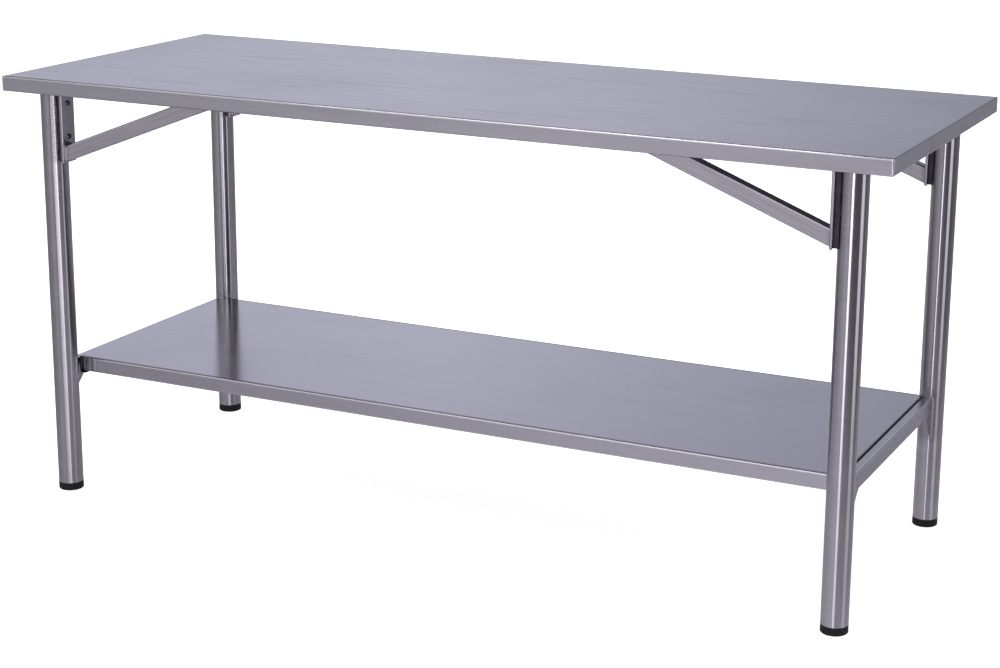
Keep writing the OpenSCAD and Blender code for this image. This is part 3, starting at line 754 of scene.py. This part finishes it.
def corner_seams(tree, place, beyond, colour, rough):
    """The welds at a folded sheet's four corners, ground flush, so paler and duller than the sheet."""
    sides = [near(tree, value, 0.0, *SEAM_REACH) for value in beyond]
    seam = add(tree, "Math", *sides, operation="MULTIPLY")
    patchy = add(tree, "MapRange", clouds(tree, place, SEAM_CLOUD_MM), *NOISE_SPAN, SEAM_LEAST, 1.0)
    ground = add(tree, "Math", seam, patchy, operation="MULTIPLY")
    colour = add(tree, "Mix", {0: ground, 6: colour, 7: SEAM_PALE}, **COLOURS)
    return colour, add(tree, "Math", ground, SEAM_DULLNESS, rough, operation="MULTIPLY_ADD")


def fold_lines(tree, beyond, below, colour):
    """Painted shade as a dark line on the flat just inside the front and rear folds, and a painted
    highlight as a light one down on the folds.
    """
    brink = near(tree, beyond, BRINK_MIDDLE, *BRINK_REACH)
    flat = add(tree, "MapRange", below, *FLAT_SPAN, 0.0, DARK_LINE_SHARE)
    dark = add(tree, "Math", brink, flat, operation="MULTIPLY")
    colour = add(tree, "Mix", {0: dark, 6: colour, 7: DARK_LINE}, **COLOURS)
    outer = add(tree, "MapRange", beyond, *FOLD_SIDE_SPAN, 0.0, FOLD_LIGHT_SHARE)
    upper = add(tree, "MapRange", below, *FOLD_TOP_SPAN, 0.0, 1.0)
    light = add(tree, "Math", outer, upper, operation="MULTIPLY")
    return add(tree, "Mix", {0: light, 6: colour, 7: FOLD_LIGHT}, **COLOURS)


def end_faces(tree, beyond, below, shade, colour):
    """Painted shade darkens the sheet's short end faces by a share: the shelf's stand in the dark beside
    the rails.
    """
    outer = add(tree, "MapRange", beyond, *END_SPAN, 0.0, shade)
    under_top = add(tree, "MapRange", below, *END_TOP_SPAN, 1.0, 0.0)
    share = add(tree, "Math", outer, under_top, operation="MULTIPLY")
    return add(tree, "Mix", {0: share, 6: colour, 7: END_DARK}, **COLOURS)


def sheet_marks(high, smears, end_shade):
    """All marks of a folded sheet, painted shade and highlights among them. high is its half length,
    half depth and height.

    smears is how dark the wiped smears are, end_shade how far painted shade darkens the short end faces.
    """
    def marks(tree, place, colour, rough):
        x, y, z = add(tree, "SeparateXYZ", place).node.outputs
        beyond = []
        for value, edge in ((x, high[0]), (y, high[1])):
            away = add(tree, "Math", value, operation="ABSOLUTE")
            beyond.append(add(tree, "Math", away, edge, operation="SUBTRACT"))
        below = add(tree, "Math", z, high[2], operation="SUBTRACT")
        colour, rough = hand_marks(tree, place, smears, colour, rough)
        colour, rough = corner_seams(tree, place, beyond, colour, rough)
        colour = fold_lines(tree, beyond[1], below, colour)
        colour = end_faces(tree, beyond[0], below, end_shade, colour)
        outermost = add(tree, "Math", *beyond, operation="MAXIMUM")
        depth = add(tree, "Math", outermost, below, operation="MAXIMUM")
        return mill_skin(tree, inside_of(tree, depth, FOLDED_SHEET), colour, rough)
    return marks


def rail_marks(tree, place, colour, rough):
    """Weld heat beside the legs, painted shade on the web, a painted highlight along the upper fold, and
    mill skin with painted shade inside.
    """
    x, y, z = add(tree, "SeparateXYZ", place).node.outputs
    sideways, lengthways = (add(tree, "Math", value, operation="ABSOLUTE") for value in (x, y))
    heated = near(tree, lengthways, LEG_Y - LEG_RADIUS, *RAIL_HEAT_REACH)
    colour, rough = weld_heat(tree, place, heated, colour, rough)
    beyond = add(tree, "Math", sideways, RAIL_OUTER, operation="SUBTRACT")
    above = add(tree, "Math", z, RAIL_TOP, operation="SUBTRACT")
    # Painted shade on the web below the flange
    web = add(tree, "MapRange", above, *FLANGE_SPAN, WEB_SHARE, 0.0)
    colour = add(tree, "Mix", {0: web, 6: colour, 7: WEB_GREY}, **COLOURS)
    # Painted highlight along the flange's outer fold
    flange = add(tree, "MapRange", above, *FLANGE_SPAN, 0.0, 1.0)
    outer = add(tree, "MapRange", beyond, *FLANGE_EDGE_SPAN, 0.0, LIGHT_LINE_SHARE)
    fold = add(tree, "Math", flange, outer, operation="MULTIPLY")
    colour = add(tree, "Mix", {0: fold, 6: colour, 7: LIGHT_LINE}, **COLOURS)
    # The gussets are ground on both faces, so there the depth is raised by far more than the sheet's
    gusset = add(tree, "Math", lengthways, GUSSET_INNER, operation="GREATER_THAN")
    depth = add(tree, "Math", beyond, above, operation="MAXIMUM")
    depth = add(tree, "Math", depth, gusset, operation="ADD")
    return mill_skin(tree, inside_of(tree, depth, RAIL_SHEET), colour, rough)


def bracket_marks(tree, place, colour, rough):
    """Weld heat round the brace's lower end, and mill skin with painted shade on the ends of the lips
    turned to the leg.
    """
    x, _, z = add(tree, "SeparateXYZ", place).node.outputs
    colour, rough = weld_heat(tree, place, near(tree, z, BRACE_LOW, *BRACKET_HEAT_REACH), colour, rough)
    away = add(tree, "Math", x, operation="ABSOLUTE")
    # Painted shade on the ends of the lips, in the gap beside the leg
    lip_ends = [PLATE_FACE + distance for distance in LIP_END_SPAN]
    return mill_skin(tree, add(tree, "MapRange", away, *lip_ends, 0.0, 1.0), colour, rough)


def brace_marks(tree, place, colour, rough):
    """Weld heat at both ends of the brace, and a painted highlight along its two rolled upper corners.

    The line lies where the height above the brace's middle line, (|x| - plate face) sin(slope) +
    (z - brace low) cos(slope), comes near half the brace's height.
    """
    x, _, z = add(tree, "SeparateXYZ", place).node.outputs
    away = add(tree, "Math", x, operation="ABSOLUTE")
    low = near(tree, away, PLATE_FACE, *BRACE_HEAT_REACH)
    high = near(tree, z, LEG_TOP, *BRACE_HEAT_REACH)
    heated = add(tree, "Math", low, high, operation="MAXIMUM")
    colour, rough = weld_heat(tree, place, heated, colour, rough)
    along = add(tree, "Math", away, PLATE_FACE, operation="SUBTRACT")
    above = add(tree, "Math", z, BRACE_LOW, operation="SUBTRACT")
    above = add(tree, "Math", above, math.cos(BRACE_ANGLE), operation="MULTIPLY")
    rise = add(tree, "Math", along, math.sin(BRACE_ANGLE), above, operation="MULTIPLY_ADD")
    # Painted highlight along the rolled upper corners
    corner = near(tree, rise, BRACE_HEIGHT / 2 - BRACE_LINE_INSET, *BRACE_LINE_REACH)
    share = add(tree, "Math", corner, LIGHT_LINE_SHARE, operation="MULTIPLY")
    return add(tree, "Mix", {0: share, 6: colour, 7: LIGHT_LINE}, **COLOURS), rough


# A grain leans by this much, so that it points straight out of no face of a folded sheet
LEAN = 0.02
TOP_SHADES = ("#C2C0C7", "#CDCBD2")


def ground_worktop():
    """Ground stainless sheet, ground along its length: broad soft reflections and long pale streaks."""
    marks = sheet_marks(TOP, smears=0.09, end_shade=0.0)
    return ground_steel("ground_stainless_worktop", (1.0, 0.0, LEAN), TOP_SHADES,
                        roughness=0.22, anisotropy=0.85, streak_mm=1.6, marks=marks)


def ground_shelf():
    """Ground stainless sheet of a finer belt: it mirrors the legs clearly, drawn out across its grain."""
    marks = sheet_marks(SHELF, smears=0.05, end_shade=1.0)
    return ground_steel("ground_stainless_shelf", (1.0, 0.0, LEAN), ("#C1BFC6", "#CBC9D0"),
                        roughness=0.12, anisotropy=1.0, streak_mm=1.6, marks=marks)


def ground_rail():
    """Ground stainless sheet, ground from front to rear: an even web in painted shade under a painted
    highlight along its fold.
    """
    return ground_steel("ground_stainless_rail", (0.0, 1.0, LEAN), TOP_SHADES,
                        roughness=0.25, anisotropy=0.6, streak_mm=1.5, marks=rail_marks)


def ground_bracket():
    """Ground stainless sheet, ground upwards: a little darker than the legs, with a level gleam."""
    return ground_steel("ground_stainless_bracket", (0.0, LEAN, 1.0), ("#B0ADB6", "#C3C0C9"),
                        roughness=0.26, anisotropy=0.6, streak_mm=1.2, marks=bracket_marks)


def ground_box_tube(side, sign):
    """Stainless box tube ground along its length: strong streaks that climb with the brace."""
    slope = sign * BRACE_ANGLE
    grain = (math.cos(slope), 0.0, -math.sin(slope))
    return ground_steel(f"ground_box_tube_{side}", grain, ("#B6B3BA", "#D8D5DC"),
                        roughness=0.24, anisotropy=0.7, streak_mm=1.4, marks=brace_marks, turn=-slope)


# Polished stainless tube

# Height and width in millimetres of the rings that the belt leaves, and of the wider zones between them
RING_MM = (1.6, 60)
ZONE_MM = (45, 400)
RING_RELIEF = 0.04
RING_DEPTH_MM = 0.15
TUBE_ROUGH_SPAN = (0.19, 0.23)

# Reach of the heat on both sides of its middle, and the width over which it then fades
LEG_SIDE_REACH = (0.006, 0.006)
LEG_RAIL_MIDDLE = 0.232
LEG_RAIL_REACH = (0.040, 0.024)
LEG_FACE_REACH = (0.010, 0.006)
LEG_MOUNT_REACH = (0.062, 0.014)
LEG_TOP_REACH = (0.003, 0.010)


def leg_heat(tree, place):
    """1 on the leg where it was welded: beside the rail, behind the channel and under the top plate."""
    x, y, z = add(tree, "SeparateXYZ", place).node.outputs
    sideways, lengthways = (add(tree, "Math", value, operation="ABSOLUTE") for value in (x, y))
    inner = near(tree, lengthways, LEG_Y - LEG_RADIUS, *LEG_SIDE_REACH)
    beside_rail = near(tree, z, LEG_RAIL_MIDDLE, *LEG_RAIL_REACH)
    rail = add(tree, "Math", inner, beside_rail, operation="MULTIPLY")
    facing = near(tree, sideways, LEG_X - LEG_RADIUS, *LEG_FACE_REACH)
    beside_mount = near(tree, z, sum(MOUNT_SPAN) / 2, *LEG_MOUNT_REACH)
    mount = add(tree, "Math", facing, beside_mount, operation="MULTIPLY")
    sides = add(tree, "Math", rail, mount, operation="MAXIMUM")
    return add(tree, "Math", sides, near(tree, z, LEG_TOP, *LEG_TOP_REACH), operation="MAXIMUM")


def polished_tube():
    """Stainless tube polished by a belt that runs round it.

    The scratches go round the tube, so a light above or below still draws a line down its whole
    length, and faint rings of finer and coarser polish follow each other up the leg. The real
    scratches are under 0.05 mm wide, too fine to show, so the rings are drawn as bundles of them.
    Beside the rail, the channel and the top plate the welds have left a scoured, tinted patch.
    """
    def links(tree):
        place = add(tree, "TexCoord", output="Object")
        rings = streaks(tree, place, *RING_MM, 2, detail=4.0)
        zones = streaks(tree, place, *ZONE_MM, 2)
        half = add(tree, "Math", zones, 0.5, operation="MULTIPLY")
        both = add(tree, "Math", rings, 0.5, half, operation="MULTIPLY_ADD")
        tone = add(tree, "MapRange", both, *NOISE_SPAN, 0.0, 1.0)
        colour = add(tree, "Mix", {0: tone, 6: "#B2AFB5", 7: "#BFBCC2"}, **COLOURS)
        rough = add(tree, "MapRange", both, *NOISE_SPAN, *TUBE_ROUGH_SPAN)
        colour, rough = weld_heat(tree, place, leg_heat(tree, place), colour, rough)
        normal = add(tree, "Bump", {"Height": rings, "Strength": RING_RELIEF,
                                    "Distance": RING_DEPTH_MM * MM})
        return {"Base Color": colour, "Roughness": rough, "Normal": normal,
                "Tangent": add(tree, "CombineXYZ", 0.0, 0.0, 1.0)}
    return material("belt_polished_stainless_tube", {"Metallic": 1.0, "Anisotropic": 1.0}, links)


# Metals with an even grain

WIDE_CLOUD = 12
PIT_DEPTH_MM = 0.1
# How far a metal's roughness strays below and above its own
STRAY = (-0.05, 0.07)


def plain_metal(name, shades, roughness, grain_mm, relief=0.25):
    """Metal with an even grain: light and dark clouds over a fine pitted skin.

    The real pits are a few hundredths of a millimetre wide, too fine to show, so each metal's are
    drawn as wide as they need to show.
    """
    def links(tree):
        place = add(tree, "TexCoord", output="Object")
        skin = clouds(tree, place, grain_mm)
        wide = clouds(tree, place, grain_mm * WIDE_CLOUD)
        half = add(tree, "Math", wide, 0.5, operation="MULTIPLY")
        both = add(tree, "Math", skin, 0.5, half, operation="MULTIPLY_ADD")
        tone = add(tree, "MapRange", both, *NOISE_SPAN, 0.0, 1.0)
        return {"Base Color": add(tree, "Mix", {0: tone, 6: shades[0], 7: shades[1]}, **COLOURS),
                "Roughness": add(tree, "MapRange", both, *NOISE_SPAN, *(roughness + part for part in STRAY)),
                "Normal": add(tree, "Bump", {"Height": skin, "Strength": relief,
                                             "Distance": PIT_DEPTH_MM * MM})}
    return material(name, {"Metallic": 1.0}, links)


def cold_rolled_channel():
    """Stainless channel pressed from cold rolled sheet, never ground, with a soft sheen: its dark even grey
    is painted shade under the sheets.
    """
    return plain_metal("cold_rolled_shaded_stainless_channel", ("#55535A", "#6C6A71"), roughness=0.34, grain_mm=1.2)


def pickled_plate():
    """Stainless plate, cut and pickled: the acid leaves it grey and matt, with a fine tooth."""
    return plain_metal("pickled_stainless_plate", ("#8C8A92", "#A5A3AB"),
                       roughness=0.42, grain_mm=0.8, relief=0.4)


def scorched_channel():
    """Stainless channel scorched by welding: a dark oxide skin that hardly shines, darkened further as
    painted shade of the gap behind the bracket plate.
    """
    return plain_metal("weld_scorched_shaded_stainless_channel", ("#34323A", "#56545C"),
                       roughness=0.40, grain_mm=1.5)


def zinc_plated_steel():
    """Steel, zinc plated and passivated blue: bright, cool and slightly cloudy."""
    return plain_metal("zinc_plated_steel", ("#B4B6BC", "#CACCD2"), roughness=0.28, grain_mm=0.5)


def cold_headed_screw():
    """Stainless wire, cold headed and tumbled: bright, with edges and marks smoothed over."""
    return plain_metal("cold_headed_stainless_screw", ("#B0AEB6", "#C6C4CC"), roughness=0.24, grain_mm=0.4)


def bright_weld():
    """Stainless weld metal laid under shielding gas and brushed: bright, its ripples catching the light."""
    return plain_metal("bright_tig_weld", ("#ACA8AE", "#DCD9DE"), roughness=0.22, grain_mm=2.4, relief=0.15)


def scorched_weld():
    """Stainless weld metal left as laid: brown and black oxide, dull and rough, darkened further as
    painted shade of the gap behind the bracket plate.
    """
    return plain_metal("scorched_shaded_tig_weld", ("#2E2C2C", "#55535A"), roughness=0.40, grain_mm=2.4, relief=0.3)


# Socket screws and nylon feet

# Radii between which the painted shade in the socket ends, and the roughness of the head and of that shade
PASTE_SPAN = (0.0023, 0.0027)
SCREW_ROUGH_SPAN = (0.26, 0.6)
SCREW_RELIEF = 0.25
NYLON_RELIEF = 0.3
SCREW_GRAIN_MM = 0.4
NYLON_GRAIN_MM = 0.6
NYLON_DEPTH_MM = 0.05


def socket_screw():
    """Cold headed stainless steel, the socket in its head and its rim painted matt black as shade.

    The heads' grey is darkened as painted shade and keeps a gleam; each socket is a round matt black spot.
    """
    def links(tree):
        place = add(tree, "TexCoord", output="Object")
        y, z = (add(tree, "SeparateXYZ", place, output=axis) for axis in ("Y", "Z"))
        skin = clouds(tree, place, SCREW_GRAIN_MM)
        offset = add(tree, "Math", z, SCREW_MIDDLE, operation="SUBTRACT")
        away = add(tree, "Math", offset, operation="ABSOLUTE")
        up = add(tree, "Math", away, SCREW_HALF_PITCH, operation="SUBTRACT")
        lengthways = add(tree, "Math", y, operation="ABSOLUTE")
        across = add(tree, "Math", lengthways, LEG_Y, operation="SUBTRACT")
        from_middle = add(tree, "CombineXYZ", up, across)
        radius = add(tree, "VectorMath", from_middle, operation="LENGTH", output="Value")
        # Painted shade: the socket and its rim are painted matt black
        paste = add(tree, "MapRange", radius, *PASTE_SPAN, 1.0, 0.0)
        tone = add(tree, "MapRange", skin, *NOISE_SPAN, 0.0, 1.0)
        # The head's grey is darkened, as painted shade
        steel = add(tree, "Mix", {0: tone, 6: "#66646C", 7: "#7E7C84"}, **COLOURS)
        return {"Base Color": add(tree, "Mix", {0: paste, 6: steel, 7: "#08080A"}, **COLOURS),
                "Metallic": add(tree, "Math", 1.0, paste, operation="SUBTRACT"),
                "Roughness": add(tree, "MapRange", paste, 0.0, 1.0, *SCREW_ROUGH_SPAN),
                "Normal": add(tree, "Bump", {"Height": skin, "Strength": SCREW_RELIEF,
                                             "Distance": PIT_DEPTH_MM * MM})}
    return material("stainless_socket_screw", {}, links)


def moulded_nylon():
    """Black nylon moulded in a spark-eroded tool: a fine even grain that keeps it matt.

    The real grain is about 0.1 mm wide, too fine to show, so it is drawn coarser.
    """
    def links(tree):
        grain = clouds(tree, add(tree, "TexCoord", output="Object"), NYLON_GRAIN_MM, 2.0)
        tone = add(tree, "MapRange", grain, *NOISE_SPAN, 0.0, 1.0)
        return {"Base Color": add(tree, "Mix", {0: tone, 6: "#101014", 7: "#1A1A20"}, **COLOURS),
                "Normal": add(tree, "Bump", {"Height": grain, "Strength": NYLON_RELIEF,
                                             "Distance": NYLON_DEPTH_MM * MM})}
    return material("moulded_black_nylon", {"Roughness": 0.55, "IOR": 1.53, "Specular IOR Level": 0.2}, links)


# Which finish goes on which CAD node

def dress(finish, *names):
    """Puts a finish on CAD nodes."""
    for name in names:
        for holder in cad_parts[name].material_slots:
            holder.material = finish


def dress_sheets():
    """Finishes of the worktop, the shelf, the end rails and the channels under the sheets."""
    dress(ground_worktop(), "worktop_skin")
    dress(ground_shelf(), "shelf_skin")
    dress(ground_rail(), "end_rail_left", "end_rail_right")
    dress(cold_rolled_channel(), "front_stiffener", "rear_stiffener", "shelf_stiffener",
          "cross_stiffener_left", "cross_stiffener_middle", "cross_stiffener_right")


def dress_corners():
    """Finishes of the legs, braces, plates and feet."""
    tube, bracket, plate = polished_tube(), ground_bracket(), pickled_plate()
    channel, nylon = scorched_channel(), moulded_nylon()
    for corner in CORNERS:
        dress(tube, f"leg_{corner}")
        dress(bracket, f"brace_plate_{corner}")
        dress(plate, f"leg_plate_{corner}", f"brace_foot_{corner}")
        dress(channel, f"leg_mount_{corner}")
        dress(nylon, f"foot_pad_{corner}", f"leg_insert_{corner}")
    for side, sign in SIDES.items():
        dress(ground_box_tube(side, sign), f"brace_front_{side}", f"brace_rear_{side}")


def dress_fasteners(zinc):
    """Finishes of the screws, bolts and nuts."""
    dress(socket_screw(), "bracket_screws")
    dress(zinc, "mount_nuts", "leg_bolts", "brace_bolts", "stiffener_nuts", "shelf_nuts")
    dress(cold_headed_screw(), "shelf_screws")


make_camera()
make_studio()
zinc = zinc_plated_steel()
dress_sheets()
dress_corners()
dress_fasteners(zinc)
make_welds(bright_weld(), scorched_weld())
for corner, (side, end) in CORNERS.items():
    threaded_stud(corner, side, end, zinc)
